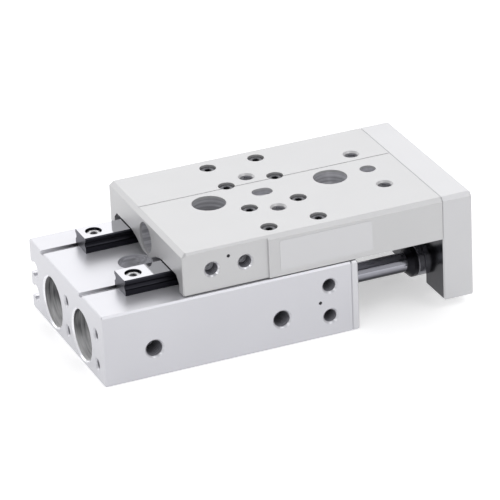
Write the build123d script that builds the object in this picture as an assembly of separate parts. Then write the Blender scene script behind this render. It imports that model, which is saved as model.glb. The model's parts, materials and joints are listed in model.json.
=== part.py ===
"""Pneumatic slide table: two 12 mm cylinders side by side in one block push a table that runs on two
ball guide rails, with a stroke of 20 mm.

Frame: millimetres. The origin is on the mounting face, midway between the two mounting screw holes.
+X points the way the table moves out, +Y points to the side with the switch slots, and +Z is up.
The air ports are on the -Y side, which the names below call the near side. Everything is drawn with
the table all the way out.
"""

from build123d import *
import os

# Fits between pieces
slip = 0.02  # radial play of a piece that is pushed into a bore and stays there
running = 0.05  # radial play of a piece that slides or turns
drop_in = 0.2  # play round a loose piece, such as a screw head in its pocket
lift = 0.3  # height of the air gap between the sliding and the fixed pieces

# Motion
stroke = 20.0
closed_gap = 3.1  # left between the end plate and the front plate when the table is in
end_gap = 0.3  # left between a piston and its bumper at each end of the stroke

# Cylinder block
body_length = 65.0
body_width = 50.0
body_height = 18.7
body_edge = 0.5
end_edge = 0.2  # broken edge round the ends of the block
mount_setback = 18.5  # rear face to the first mounting hole
mount_spacing = 32.5
mount_clear_diameter = 4.5
mount_thread_diameter = 5.0
mount_thread_depth = 8.0
mount_pocket_diameter = 8.5
mount_pocket_depth = 4.4
dowel_diameter = 3.0
dowel_depth = 3.5
dowel_slot_travel = 1.2
dowel_spacing = 16.0

# Bores and what closes them
bore_spacing = 20.0
bore_height = 7.5
bore_diameter = 12.0
plug_pocket_diameter = 12.8
plug_pocket_depth = 10.5
bore_lead_in = 0.4
plug_length = 5.0
circlip_thickness = 0.9
circlip_groove_depth = 0.5
circlip_band = 1.1
circlip_lug_diameter = 2.6
circlip_eye_diameter = 1.1
circlip_lug_turn = 16  # degrees from the middle of the opening to an eye
circlip_opening = 1.0
front_plate_thickness = 1.8
plate_edge = 0.3  # broken edge round both faces of a plate, which shows where it meets its neighbour
window_play = 0.4  # play round the collar where it passes the front plate

# Air ports and the small passage that joins the two bores
port_thread_diameter = 4.2
port_mouth_diameter = 5.0
rear_port_setback = 13.0
front_port_setback = 46.3
port_thread_depth = 7.0
passage_diameter = 2.5

# Switch slots on the far side
slot_mouth = 3.2
slot_round = 4.2
slot_depth = 5.0
slot_heights = (4.8, 11.2)

# Rods and pistons
rod_diameter = 5.0
spigot_diameter = 3.5
collar_diameter = 8.1
collar_length = 2.6
collar_slope = 1.3
collar_edge = 0.15
collar_gap = 1.6  # front of the collar to the end plate, where the bush shows
piston_length = 9.0
piston_play = 0.1
seal_width = 2.0
seal_offset = 1.6  # piston face to seal groove
magnet_width = 2.6
magnet_offset = 1.6
groove_depth = 1.9
rear_bumper_diameter = 7.0
rear_bumper_length = 4.2
front_bumper_diameter = 9.0
front_bumper_length = 5.7
rod_seal_diameter = 9.4
rod_seal_length = 3.0
ring_section = 1.5  # thickness of the O-rings

# Guide rails
rail_offset = 13.25  # middle of the block to the centre line of a rail
rail_width = 7.0
rail_height = 4.0
rail_setback = 9.4  # rear face of the block to the rear end of a rail
rail_margin = 0.6  # front end of a rail to the front face of the block
rail_edge = 0.3
rail_screw_inset = 3.5
rail_screw_count = 4
relief_width = 2.1
relief_depth = 0.8

# Guide blocks and their balls
ball_diameter = 1.5
ball_height = 2.2  # rail foot to the middle of the balls
ball_count = 9
ball_pitch = 1.75
block_side_gap = 0.3
block_length = 17.0
block_width = 15.2
block_height = 6.5
cap_length = 4.0
cap_inset = 0.25
return_wall = 1.55  # side of the block to the middle of a return hole
block_screw_wall = 1.6  # side of the block to the middle of a screw
block_screw_along = 13.0
block_screw_grip = 1.7  # table metal between a screw head and the guide block

# Table
table_length = 68.4
table_inset = 0.5  # side of the cylinder block to the side of the table
roof_thickness = 7.0  # ceiling of the rail channels to the top of the table
table_edge = 1.0
table_corner = 0.8
rib_half_width = 2.6
rib_gap = 1.4  # block top face of the body to the underside of the middle rib
skirt_thickness = 3.3
skirt_corner = 1.7
channel_shoulder = 3.6
channel_drop = 1.0
pocket_play = 0.2
end_hole_diameter = 7.8
end_hole_depth = 8.0
access_diameter = 8.5
pad_length = 22.2
pad_depth = 0.5
side_tap_setback = 7.6
side_tap_spacing = 8.7
side_tap_depth = 4.2
score_offset = 6.1
score_width = 0.3
score_depth = 0.15
work_row_setback = 31.2
work_row_spacing = 28.5
work_across = 20.0
pin_diameter = 4.0
pin_depth = 3.0
pin_slot_travel = 1.3

# End plate
end_plate_thickness = 8.0
end_plate_foot = 2.4
coupling_slot_depth = 3.0
plate_screw_spread = 34.0
plate_screw_drop = 4.5  # top of the table to the middle of a screw
front_tap_across = 24.0
front_tap_up = 8.0
front_tap_height = 18.0

# Tapped holes: drill diameter and the wider mouth of the countersink
m4_drill, m4_mouth = 3.3, 4.2
m3_drill, m3_mouth = 2.5, 3.3
end_tap_depth = 6.0
body_tap_inset = 5.9
body_tap_spacing = 8.2
body_tap_height = 9.5
body_tap_depth = 7.0
rear_tap_up = 8.0
rear_tap_height = 8.2
punch_diameter = 0.9
punch_depth = 0.3
punch_offset = 2.6  # from the line or the row of taps that it marks

# Socket screws: thread diameter, length, head diameter, head height, width across the socket flats
m2 = (2.0, 5.0, 3.8, 2.0, 1.5)
m25 = (2.5, 11.0, 4.5, 2.5, 2.0)
m4 = (4.0, 12.0, 7.0, 4.0, 3.0)
rail_pocket_depth = 2.5
m25_pocket_depth = 2.8
m4_pocket_depth = 4.3
flat_head_diameter = 4.4
flat_screw_diameter = 2.5
flat_screw_length = 5.0
flat_socket = 1.5
flat_screw_margin = 1.0  # rim of the head to the edge of the plate

# Places that follow from the sizes above
body_rear = -(mount_setback + mount_spacing / 2)
body_front = body_rear + body_length
near_side = -body_width / 2
table_width = body_width - 2 * table_inset
plate_front = body_front + front_plate_thickness
end_plate_rear = plate_front + closed_gap + stroke
table_rear = end_plate_rear - table_length
table_foot = body_height + lift
rail_rear = body_rear + rail_setback
rail_length = body_length - rail_setback - rail_margin
rail_top = body_height + rail_height
ball_level = body_height + ball_height
block_foot = body_height + 2 * lift
block_top = block_foot + block_height
ceiling = rail_top + lift
table_top = ceiling + roof_thickness
block_pocket_depth = table_top - block_top - block_screw_grip
rib_foot = body_height + rib_gap
block_centre = table_rear + work_row_setback
plug_front = body_rear + plug_pocket_depth
piston_rear = plug_front + rear_bumper_length + end_gap + stroke
piston_front = piston_rear + piston_length
front_bumper_rear = piston_front + end_gap
cover_rear = front_bumper_rear + front_bumper_length
cover_length = body_front - cover_rear
collar_front = end_plate_rear - collar_gap
rod_front = end_plate_rear + coupling_slot_depth
sides = {"near": -1, "far": 1}

X_UP, Y_UP, Z_UP = (1, 0, 0), (0, 1, 0), (0, 0, 1)
X_DOWN, Y_DOWN, Z_DOWN = (-1, 0, 0), (0, -1, 0), (0, 0, -1)
FROM_BASE = (Align.CENTER, Align.CENTER, Align.MIN)


def spread(*ranges):
    """Box between the low and high values given for x, y and z."""
    middle = [(low + high) / 2 for low, high in ranges]
    return Pos(*middle) * Box(*[high - low for low, high in ranges])


def bar(start, direction, diameter, length):
    """Round bar that starts at a point and runs in a direction."""
    return Plane(origin=start, z_dir=direction) * Cylinder(diameter / 2, length, align=FROM_BASE)


def ring(start, direction, outer, inner, length):
    return bar(start, direction, outer, length) - bar(start, direction, inner, length)


def drilled(mouth, direction, diameter, depth, mouth_diameter):
    """Drilled hole with a 45 degree countersink at its mouth."""
    sink = (mouth_diameter - diameter) / 2
    cone = Cone(mouth_diameter / 2, diameter / 2, sink, align=FROM_BASE)
    return bar(mouth, direction, diameter, depth) + Plane(origin=mouth, z_dir=direction) * cone


def oblong(centre, direction, along, diameter, travel, depth):
    """Slot with round ends, as an end mill cuts it. It is longer than it is wide by travel."""
    plane = Plane(origin=centre, z_dir=direction, x_dir=along)
    outline = plane * SlotCenterToCenter(travel, diameter)
    return extrude(outline, depth)


def cap_screw(under_head, direction, size):
    """Socket head screw, placed by the seat under its head. It points in the direction given."""
    thread, length, head, head_height, socket = size
    back = tuple(-step for step in direction)
    body = bar(under_head, direction, thread, length) + bar(under_head, back, head, head_height)
    top = Plane(origin=under_head, z_dir=back).offset(head_height)
    hexagon = top * RegularPolygon(socket / 2, 6, major_radius=False)
    return body - extrude(hexagon, -head_height / 2)


def screw_pocket(mouth, direction, size, pocket_depth, depth):
    """Counterbore for the head and a clearance hole for the thread of a socket head screw."""
    thread, _, head, _, _ = size
    pocket = bar(mouth, direction, head + 2 * drop_in, pocket_depth)
    return pocket + bar(mouth, direction, thread + 2 * running, depth)


def seat_in(mouth, direction, pocket_depth):
    return tuple(at + step * pocket_depth for at, step in zip(mouth, direction))


def mirrored_places(centre, half):
    return (centre - half, centre + half)


def mount_places():
    return [(x, 0, 0) for x in mirrored_places(0, mount_spacing / 2)]


def rail_screw_places(side):
    first = rail_rear + rail_screw_inset
    pitch = (rail_length - 2 * rail_screw_inset) / (rail_screw_count - 1)
    y = sides[side] * rail_offset
    return [(first + i * pitch, y, rail_top) for i in range(rail_screw_count)]


def block_screw_places(side):
    middle = sides[side] * rail_offset
    return [
        (x, y, table_top)
        for x in mirrored_places(block_centre, block_screw_along / 2)
        for y in mirrored_places(middle, block_width / 2 - block_screw_wall)
    ]


def front_plate_screw_places():
    """Two screws between the bores and one above each outer corner of them."""
    inset = flat_head_diameter / 2 + flat_screw_margin
    low, high = inset, body_height - inset
    outer = body_width / 2 - inset
    spots = [(-outer, high), (outer, high), (0, low), (0, high)]
    return [(plate_front, y, z) for y, z in spots]


def bore_line(x, side):
    return (x, sides[side] * bore_spacing / 2, bore_height)


def switch_slot(height):
    """Round slot with a narrower mouth, open at the far side and run through the whole block."""
    middle = body_width / 2 - slot_depth + slot_round / 2
    outline = Plane.YZ.offset(body_rear) * (
        Pos(middle, height) * Circle(slot_round / 2)
        + Pos((middle + body_width / 2) / 2, height) * Rectangle(body_width / 2 - middle, slot_mouth)
    )
    return extrude(outline, body_length)


def end_outlines(piece):
    """Edges round the rear and the front face of a block or a plate."""
    by_place = piece.edges().group_by(Axis.X)
    return by_place[0] + by_place[-1]


def make_body():
    """Cylinder block, milled from one bar."""
    block = spread((body_rear, body_front), (near_side, -near_side), (0, body_height))
    block = chamfer(block.edges().filter_by(Axis.X), body_edge)
    block = chamfer(end_outlines(block), end_edge)
    for side in sides:
        pocket_mouth = plug_pocket_diameter + 2 * bore_lead_in
        groove = plug_pocket_diameter + 2 * circlip_groove_depth
        groove_rear = plug_front - plug_length - circlip_thickness
        block -= bar(bore_line(body_rear, side), X_UP, bore_diameter, body_length)
        rear = bore_line(body_rear, side)
        block -= drilled(rear, X_UP, plug_pocket_diameter, plug_pocket_depth, pocket_mouth)
        block -= bar(bore_line(groove_rear, side), X_UP, groove, circlip_thickness)
        block -= rail_seat(side)
    for setback in (rear_port_setback, front_port_setback):
        mouth = (body_rear + setback, near_side, bore_height)
        block -= drilled(mouth, Y_UP, port_thread_diameter, port_thread_depth, port_mouth_diameter)
        block -= bar(mouth, Y_UP, passage_diameter, (body_width + bore_spacing) / 2)
    for height in slot_heights:
        block -= switch_slot(height)
    for foot in mount_places():
        top = (foot[0], foot[1], body_height)
        block -= bar(foot, Z_UP, mount_clear_diameter, body_height)
        block -= bar(foot, Z_UP, mount_thread_diameter, mount_thread_depth)
        block -= bar(top, Z_DOWN, mount_pocket_diameter, mount_pocket_depth)
    block -= bar((-dowel_spacing / 2, 0, 0), Z_UP, dowel_diameter, dowel_depth)
    slot_centre = (dowel_spacing / 2, 0, 0)
    block -= oblong(slot_centre, Z_UP, X_UP, dowel_diameter, dowel_slot_travel, dowel_depth)
    return block - body_taps()


def rail_seat(side):
    """Narrow relief beside the rail's locating edge, and the threaded holes under the rail."""
    edge = sides[side] * rail_offset + rail_width / 2
    seat = spread(
        (body_rear, body_front),
        (edge - relief_width, edge),
        (body_height - relief_depth, body_height),
    )
    reach = m2[1] - (rail_height - rail_pocket_depth) + 2 * running
    for x, y, _ in rail_screw_places(side):
        seat += bar((x, y, body_height), Z_DOWN, m2[0] + 2 * running, reach)
    return seat


def body_taps():
    """Threaded holes for a stop bracket, on the near side and the rear face, and for the front plate."""
    side_x = body_front - body_tap_inset
    punch = (side_x - punch_offset, near_side, body_tap_height)
    tools = bar(punch, Y_UP, punch_diameter, punch_depth)
    for z in mirrored_places(body_tap_height, body_tap_spacing / 2):
        tools += drilled((side_x, near_side, z), Y_UP, m4_drill, body_tap_depth, m4_mouth)
    for y in (0, -bore_spacing):
        for z in mirrored_places(rear_tap_height, rear_tap_up / 2):
            tools += drilled((body_rear, y, z), X_UP, m3_drill, end_tap_depth, m3_mouth)
    for _, y, z in front_plate_screw_places():
        hole = flat_screw_diameter + 2 * running
        tools += bar((body_front, y, z), X_DOWN, hole, flat_screw_length)
    return tools


def make_front_plate():
    """Thin plate that keeps the rod covers in their bores."""
    plate = spread((body_front, plate_front), (near_side, -near_side), (0, body_height))
    plate = chamfer(plate.edges().filter_by(Axis.X), body_edge)
    plate = chamfer(end_outlines(plate), plate_edge)
    for side in sides:
        window = collar_diameter + 2 * window_play
        plate -= bar(bore_line(body_front, side), X_UP, window, front_plate_thickness)
    for place in front_plate_screw_places():
        hole, head = flat_screw_diameter + 2 * running, flat_head_diameter + 2 * running
        plate -= drilled(place, X_DOWN, hole, front_plate_thickness, head)
    return plate


def flat_screw(place):
    """Countersunk socket screw with its head flush in the front plate."""
    sink = (flat_head_diameter - flat_screw_diameter) / 2
    head = Cone(flat_head_diameter / 2, flat_screw_diameter / 2, sink, align=FROM_BASE)
    screw = bar(place, X_DOWN, flat_screw_diameter, flat_screw_length)
    screw += Plane(origin=place, z_dir=X_DOWN) * head
    hexagon = Plane(origin=place, z_dir=X_DOWN) * RegularPolygon(flat_socket / 2, 6, major_radius=False)
    return screw - extrude(hexagon, sink)


def ring_groove(x, side, bore, width):
    """Groove for an O-ring in a piece that fills a bore."""
    return ring(bore_line(x, side), X_UP, bore + 1, bore - 2 * ring_section, width)


def o_ring(x, side, bore):
    """O-ring, pressed so hard into its groove that its section is nearly square."""
    inner = bore - 2 * ring_section + 2 * slip
    start = bore_line(x + slip, side)
    return ring(start, X_UP, bore - 2 * slip, inner, ring_section - 2 * slip)


def make_plug(side):
    """Rear end plug with its O-ring groove and a blind hole to pull it out by."""
    diameter = plug_pocket_diameter - 2 * slip
    plug = bar(bore_line(plug_front - plug_length, side), X_UP, diameter, plug_length)
    middle = plug_front - (plug_length + ring_section) / 2
    plug -= ring_groove(middle, side, plug_pocket_diameter, ring_section)
    rear = bore_line(plug_front - plug_length, side)
    return plug - drilled(rear, X_UP, m3_drill, plug_length / 2, m3_mouth)


def make_plug_ring(side):
    middle = plug_front - (plug_length + ring_section) / 2
    return o_ring(middle, side, plug_pocket_diameter)


def make_circlip(side):
    """Internal circlip: a sprung ring, open at the bottom, with two eyes for the pliers."""
    outer = plug_pocket_diameter / 2 + circlip_groove_depth - slip
    inner = outer - circlip_band - circlip_groove_depth
    lug_radius = inner - circlip_lug_diameter / 4
    outline = Circle(outer) - Circle(inner)
    for turn in (-circlip_lug_turn, circlip_lug_turn):
        lug = Rot(0, 0, turn) * Pos(0, -lug_radius)
        outline += lug * Circle(circlip_lug_diameter / 2)
        outline -= lug * Circle(circlip_eye_diameter / 2)
    outline -= Pos(0, -outer) * Rectangle(circlip_opening, outer)
    rear = plug_front - plug_length - circlip_thickness
    return extrude(Plane(bore_line(rear, side), x_dir=Y_UP, z_dir=X_UP) * outline, circlip_thickness)


def make_rear_bumper(side):
    return bar(bore_line(plug_front, side), X_UP, rear_bumper_diameter, rear_bumper_length)


def make_front_bumper(side):
    hole = rod_diameter + 4 * running
    rear = bore_line(front_bumper_rear, side)
    return ring(rear, X_UP, front_bumper_diameter, hole, front_bumper_length)


def make_cover(side):
    """Rod cover: guides the rod, with an O-ring outside and a pocket for the rod seal in front."""
    cover = bar(bore_line(cover_rear, side), X_UP, bore_diameter - 2 * slip, cover_length)
    cover -= ring_groove(cover_rear + ring_section, side, bore_diameter, ring_section)
    cover -= bar(bore_line(cover_rear, side), X_UP, rod_diameter + 2 * running, cover_length)
    return cover - bar(bore_line(body_front, side), X_DOWN, rod_seal_diameter, rod_seal_length)


def make_cover_ring(side):
    return o_ring(cover_rear + ring_section, side, bore_diameter)


def make_rod_seal(side):
    outer, inner = rod_seal_diameter - 2 * slip, rod_diameter + 2 * running
    return ring(bore_line(body_front, side), X_DOWN, outer, inner, rod_seal_length)


def make_rod(side):
    """Piston rod with a spigot for the piston and a threaded hole in its front end."""
    rod = bar(bore_line(piston_front, side), X_UP, rod_diameter, rod_front - piston_front)
    rod += bar(bore_line(piston_rear, side), X_UP, spigot_diameter, piston_length)
    thread, length = m25[0], m25[1]
    return rod - bar(bore_line(rod_front, side), X_DOWN, thread + 2 * running, length)


def make_collar(side):
    """Black collar with a sloping shoulder, locked on the rod behind the bush."""
    rear = collar_front - collar_length
    collar = bar(bore_line(rear, side), X_UP, collar_diameter, collar_length)
    collar = chamfer(collar.edges().sort_by(Axis.X)[0], collar_slope)
    collar = chamfer(collar.edges().sort_by(Axis.X)[-1], collar_edge)
    return collar - bar(bore_line(rear, side), X_UP, rod_diameter + 2 * slip, collar_length)


def make_bush(side):
    """Steel bush that fills the slot of the end plate and takes up play between rod and plate."""
    length = rod_front - collar_front
    bush = bar(bore_line(collar_front, side), X_UP, collar_diameter, length)
    bush = chamfer(bush.edges().sort_by(Axis.X)[0], collar_edge)
    return bush - bar(bore_line(collar_front, side), X_UP, rod_diameter + 2 * slip, length)


def make_piston(side):
    diameter = bore_diameter - 2 * piston_play
    root = diameter - 2 * groove_depth
    piston = bar(bore_line(piston_rear, side), X_UP, diameter, piston_length)
    seal_rear = piston_front - seal_offset - seal_width
    piston -= ring(bore_line(seal_rear, side), X_UP, bore_diameter, root, seal_width)
    magnet_rear = piston_rear + magnet_offset
    piston -= ring(bore_line(magnet_rear, side), X_UP, bore_diameter, root, magnet_width)
    return piston - bar(bore_line(piston_rear, side), X_UP, spigot_diameter + 2 * slip, piston_length)


def make_piston_seal(side):
    start = bore_line(piston_front - seal_offset - seal_width + slip, side)
    inner = bore_diameter - 2 * piston_play - 2 * groove_depth + 2 * slip
    return ring(start, X_UP, bore_diameter - 2 * running, inner, seal_width - 2 * slip)


def make_magnet(side):
    start = bore_line(piston_rear + magnet_offset + slip, side)
    inner = bore_diameter - 2 * piston_play - 2 * groove_depth + 2 * slip
    outer = bore_diameter - 4 * piston_play
    return ring(start, X_UP, outer, inner, magnet_width - 2 * slip)


def race_offset():
    """Rail centre line to the middle of a running row of balls."""
    return rail_width / 2 + block_side_gap / 2


def races(side, start, length):
    """The two round ball grooves that a rail and its block share."""
    groove = ball_diameter + 2 * running
    middle = sides[side] * rail_offset
    return [
        bar((start, y, ball_level), X_UP, groove, length)
        for y in mirrored_places(middle, race_offset())
    ]


def make_rail(side):
    """Profiled guide rail with a ball groove in each flank and counterbored screw holes."""
    middle = sides[side] * rail_offset
    rail = spread(
        (rail_rear, rail_rear + rail_length),
        (middle - rail_width / 2, middle + rail_width / 2),
        (body_height, rail_top),
    )
    rail = chamfer(rail.faces().sort_by(Axis.Z)[-1].edges().filter_by(Axis.X), rail_edge)
    for groove in races(side, rail_rear, rail_length):
        rail -= groove
    for place in rail_screw_places(side):
        rail -= screw_pocket(place, Z_DOWN, m2, rail_pocket_depth, rail_height)
    return rail


def make_rail_screws(side):
    return screws_at(rail_screw_places(side), Z_DOWN, m2, rail_pocket_depth)


def block_profile(side, width, foot, top, side_gap):
    """Section of a guide block: an arch over the rail."""
    middle = sides[side] * rail_offset
    outline = Pos(middle, (foot + top) / 2) * Rectangle(width, top - foot)
    tunnel = Pos(middle, (foot + ceiling) / 2) * Rectangle(rail_width + 2 * side_gap, ceiling - foot)
    return outline - tunnel


def make_block(side):
    """Hardened guide block with running grooves, return holes and threaded holes in its top."""
    rear = block_centre - block_length / 2
    profile = block_profile(side, block_width, block_foot, block_top, block_side_gap)
    block = extrude(Plane.YZ.offset(rear) * profile, block_length)
    for groove in races(side, rear, block_length):
        block -= groove
    middle = sides[side] * rail_offset
    for y in mirrored_places(middle, block_width / 2 - return_wall):
        block -= bar((rear, y, ball_level), X_UP, ball_diameter + 2 * running, block_length)
    reach = m2[1] - block_screw_grip + 2 * running
    for x, y, _ in block_screw_places(side):
        block -= bar((x, y, block_top), Z_DOWN, m2[0] + 2 * running, reach)
    return block


def make_block_caps(side):
    """Moulded end caps that turn the balls round, one at each end of the block."""
    width, top = block_width - 2 * cap_inset, block_top - cap_inset
    profile = block_profile(side, width, block_foot + cap_inset, top, block_side_gap)
    rears = (block_centre - block_length / 2 - cap_length, block_centre + block_length / 2)
    return Compound(children=[extrude(Plane.YZ.offset(rear) * profile, cap_length) for rear in rears])


def make_ball():
    """One ball. It has 26 flats with equal edges and its corners lie on the true ball, because so many
    balls with round faces would make the model heavy."""
    width_in_edges = 1 + 2 ** 0.5
    edge = ball_diameter / (width_in_edges ** 2 + 2) ** 0.5
    width = edge * width_in_edges
    return chamfer(Box(width, width, width).edges(), (width - edge) / 2)


def make_balls(side):
    """The two running rows of balls between a rail and its block."""
    first = block_centre - ball_pitch * (ball_count - 1) / 2
    middle = sides[side] * rail_offset
    ball = make_ball()
    balls = [
        Pos(first + i * ball_pitch, y, ball_level) * ball
        for i in range(ball_count)
        for y in mirrored_places(middle, race_offset())
    ]
    return Compound(children=balls)


def table_profile():
    """Section of the table: a skirt at each side, a channel over each rail and a rib in the middle."""
    outer = table_width / 2
    wall = outer - skirt_thickness
    half = [
        (outer, table_foot),
        (wall, table_foot),
        (wall, ceiling - skirt_corner),
        (wall - skirt_corner, ceiling),
        (rib_half_width + 2 * channel_shoulder, ceiling),
        (rib_half_width + channel_shoulder, ceiling - channel_drop),
        (rib_half_width, rib_foot),
    ]
    other_half = [(-y, z) for y, z in reversed(half)]
    roof = [(-outer, table_top), (outer, table_top)]
    return make_face(Polyline(*half, *other_half, *roof, close=True))


def make_table():
    """Sliding table with pockets for the guide blocks and the hole pattern for the load."""
    table = extrude(Plane.YZ.offset(table_rear) * table_profile(), table_length)
    uprights = table.edges().filter_by(Axis.Z).group_by(Axis.X)[0].sort_by(Axis.Y)
    table = chamfer([uprights[0], uprights[-1]], table_corner)
    upper = table.faces().sort_by(Axis.Z)[-1].edges().sort_by(Axis.X)
    table = chamfer(upper[:-1], table_edge)
    pad_far = -table_width / 2 + pad_depth
    table -= spread(
        (table_rear, table_rear + pad_length), (-table_width, pad_far), (table_foot, table_top)
    )
    pocket_half = cap_length + block_length / 2 + pocket_play
    for side in sides:
        middle = sides[side] * rail_offset
        wide = block_width / 2 + pocket_play
        table -= spread(
            (block_centre - pocket_half, block_centre + pocket_half),
            (middle - wide, middle + wide),
            (table_foot, block_top),
        )
        for place in block_screw_places(side):
            table -= screw_pocket(place, Z_DOWN, m2, block_pocket_depth, table_top - block_top)
    for x, y, _ in mount_places():
        table -= bar((x + stroke, y, table_top), Z_DOWN, access_diameter, table_top - table_foot)
    table -= table_taps()
    end_hole_height = (table_foot + table_top) / 2
    return table - bar((table_rear, 0, end_hole_height), X_UP, end_hole_diameter, end_hole_depth)


def work_rows():
    first = table_rear + work_row_setback
    return (first, first + work_row_spacing)


def table_taps():
    """Threaded holes, locating hole and slot for the load, side holes and the scored line on top."""
    roof = table_top - ceiling
    tools = spread(
        (table_rear, end_plate_rear),
        mirrored_places(score_offset, score_width / 2),
        (table_top - score_depth, table_top),
    )
    for x in work_rows():
        for y in mirrored_places(0, work_across / 2):
            tools += drilled((x, y, table_top), Z_DOWN, m4_drill, roof, m4_mouth)
    slot_x, hole_x = work_rows()
    tools += bar((hole_x, 0, table_top), Z_DOWN, pin_diameter, pin_depth)
    slot_centre = (slot_x, 0, table_top)
    tools += oblong(slot_centre, Z_DOWN, X_UP, pin_diameter, pin_slot_travel, pin_depth)
    first = table_rear + side_tap_setback
    pad = -table_width / 2 + pad_depth
    height = (table_foot + table_top) / 2
    for x in (first, first + side_tap_spacing):
        tools += drilled((x, pad, height), Y_UP, m4_drill, side_tap_depth, m4_mouth)
    punch = (first + side_tap_spacing / 2, pad, height + punch_offset)
    tools += bar(punch, Y_UP, punch_diameter, punch_depth)
    for _, y, z in plate_screw_places():
        depth = m4[1] - (end_plate_thickness - m4_pocket_depth) + 2 * running
        tools += bar((end_plate_rear, y, z), X_DOWN, m4[0] + 2 * running, depth)
    return tools


def plate_screw_places():
    front = end_plate_rear + end_plate_thickness
    height = table_top - plate_screw_drop
    return [(front, y, height) for y in mirrored_places(0, plate_screw_spread / 2)]


def rod_screw_places():
    return [bore_line(end_plate_rear + end_plate_thickness, side) for side in sides]


def coupling_slot(side):
    """Slot in the inner face of the end plate that the bush of a rod drops into from below."""
    half = collar_diameter / 2 + drop_in
    x, y, z = bore_line(end_plate_rear, side)
    slot = bar((x, y, z), X_UP, 2 * half, coupling_slot_depth)
    return slot + spread((x, x + coupling_slot_depth), (y - half, y + half), (0, z))


def make_end_plate():
    """End plate that joins the rods to the table, with a slot for each rod, open at the foot."""
    front = end_plate_rear + end_plate_thickness
    half = table_width / 2
    plate = spread((end_plate_rear, front), (-half, half), (end_plate_foot, table_top))
    plate = chamfer(plate.faces().sort_by(Axis.Z)[-1].edges().filter_by(Axis.X), table_edge)
    plate = chamfer(end_outlines(plate), plate_edge)
    for side in sides:
        plate -= coupling_slot(side)
    for place in plate_screw_places():
        plate -= screw_pocket(place, X_DOWN, m4, m4_pocket_depth, end_plate_thickness)
    for place in rod_screw_places():
        plate -= screw_pocket(place, X_DOWN, m25, m25_pocket_depth, end_plate_thickness)
    for y in mirrored_places(0, front_tap_across / 2):
        for z in mirrored_places(front_tap_height, front_tap_up / 2):
            plate -= drilled((front, y, z), X_DOWN, m4_drill, end_tap_depth, m4_mouth)
    return plate


def screws_at(places, direction, size, pocket_depth):
    seats = [seat_in(place, direction, pocket_depth) for place in places]
    return Compound(children=[cap_screw(seat, direction, size) for seat in seats])


def all_pieces():
    """Every separate piece, by its name."""
    pieces = {
        "cylinder_body": make_body(),
        "front_plate": make_front_plate(),
        "front_plate_screws": Compound(children=[flat_screw(p) for p in front_plate_screw_places()]),
        "table": make_table(),
        "end_plate": make_end_plate(),
        "end_plate_screws": screws_at(plate_screw_places(), X_DOWN, m4, m4_pocket_depth),
        "rod_end_screws": screws_at(rod_screw_places(), X_DOWN, m25, m25_pocket_depth),
    }
    makers = {
        "rear_plug": make_plug,
        "plug_o_ring": make_plug_ring,
        "circlip": make_circlip,
        "rear_bumper": make_rear_bumper,
        "front_bumper": make_front_bumper,
        "rod_cover": make_cover,
        "cover_o_ring": make_cover_ring,
        "rod_seal": make_rod_seal,
        "piston_rod": make_rod,
        "rod_collar": make_collar,
        "rod_bush": make_bush,
        "piston": make_piston,
        "piston_seal": make_piston_seal,
        "piston_magnet": make_magnet,
        "guide_rail": make_rail,
        "rail_screws": make_rail_screws,
        "guide_block": make_block,
        "block_end_caps": make_block_caps,
        "guide_balls": make_balls,
    }
    for side in sides:
        for name, make in makers.items():
            pieces[f"{side}_{name}"] = make(side)
        places = block_screw_places(side)
        pieces[f"{side}_block_screws"] = screws_at(places, Z_DOWN, m2, block_pocket_depth)
    return pieces


os.makedirs("parts", exist_ok=True)
for name, piece in all_pieces().items():
    export_step(piece, f"parts/{name}.step")
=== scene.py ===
# %% [markdown]
# # A pneumatic slide table, dressed for its picture
#
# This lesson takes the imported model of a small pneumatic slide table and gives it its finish. On the
# real object an aluminium block holds two air cylinders. They push a second, L-shaped aluminium piece,
# the table, which runs on two ball guide rails. The shapes with a true size are already in the packed
# model, so the work here is light, camera, metals, and the fine things a machinist would look for:
# threads in the tapped holes, socket screws with bevelled heads, round balls and a blank rating label.

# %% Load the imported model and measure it
import json
import math

import bpy
from mathutils import Matrix, Vector


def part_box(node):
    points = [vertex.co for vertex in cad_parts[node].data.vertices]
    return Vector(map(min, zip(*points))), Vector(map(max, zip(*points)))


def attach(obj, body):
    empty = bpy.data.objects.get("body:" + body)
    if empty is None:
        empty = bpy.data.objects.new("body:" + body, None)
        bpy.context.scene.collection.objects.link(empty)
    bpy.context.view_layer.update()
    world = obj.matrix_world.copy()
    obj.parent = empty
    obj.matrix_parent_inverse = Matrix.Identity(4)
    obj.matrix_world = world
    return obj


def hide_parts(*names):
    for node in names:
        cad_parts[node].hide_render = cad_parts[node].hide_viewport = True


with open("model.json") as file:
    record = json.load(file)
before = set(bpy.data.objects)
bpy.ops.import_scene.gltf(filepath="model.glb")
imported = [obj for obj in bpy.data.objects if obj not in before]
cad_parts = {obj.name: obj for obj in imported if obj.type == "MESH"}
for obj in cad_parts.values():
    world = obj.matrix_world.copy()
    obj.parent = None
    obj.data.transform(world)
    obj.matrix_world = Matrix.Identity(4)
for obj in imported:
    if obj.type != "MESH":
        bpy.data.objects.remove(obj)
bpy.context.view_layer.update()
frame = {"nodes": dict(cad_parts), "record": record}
nodes = frame["nodes"]
mm = 0.001

# %% [markdown]
# ## Camera
#
# The product was photographed with a long lens from the front left and a little above. The angles and
# the distance below were worked out from the straight edges of the block, so that they run the same way
# in the picture. A roll of a few degrees is there because the camera wasn't quite level. The camera is
# made in code, because its place has to be exact.

# %% Camera
turn = math.radians(-22.006)
height_angle = math.radians(25.659)
roll = math.radians(2.609)
distance = 948.09 * mm
focal_in_pixels = 2771.0
pixels_across = 360.0
sensor = 36.0
aim = Vector((13.30, -1.80, 15.90)) * mm

right = Vector((math.cos(turn), math.sin(turn), 0))
back = Vector((
    math.sin(turn) * math.cos(height_angle),
    -math.cos(turn) * math.cos(height_angle),
    math.sin(height_angle),
))
up = back.cross(right)
rolled_right = math.cos(roll) * right - math.sin(roll) * up
rolled_up = math.sin(roll) * right + math.cos(roll) * up

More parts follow.
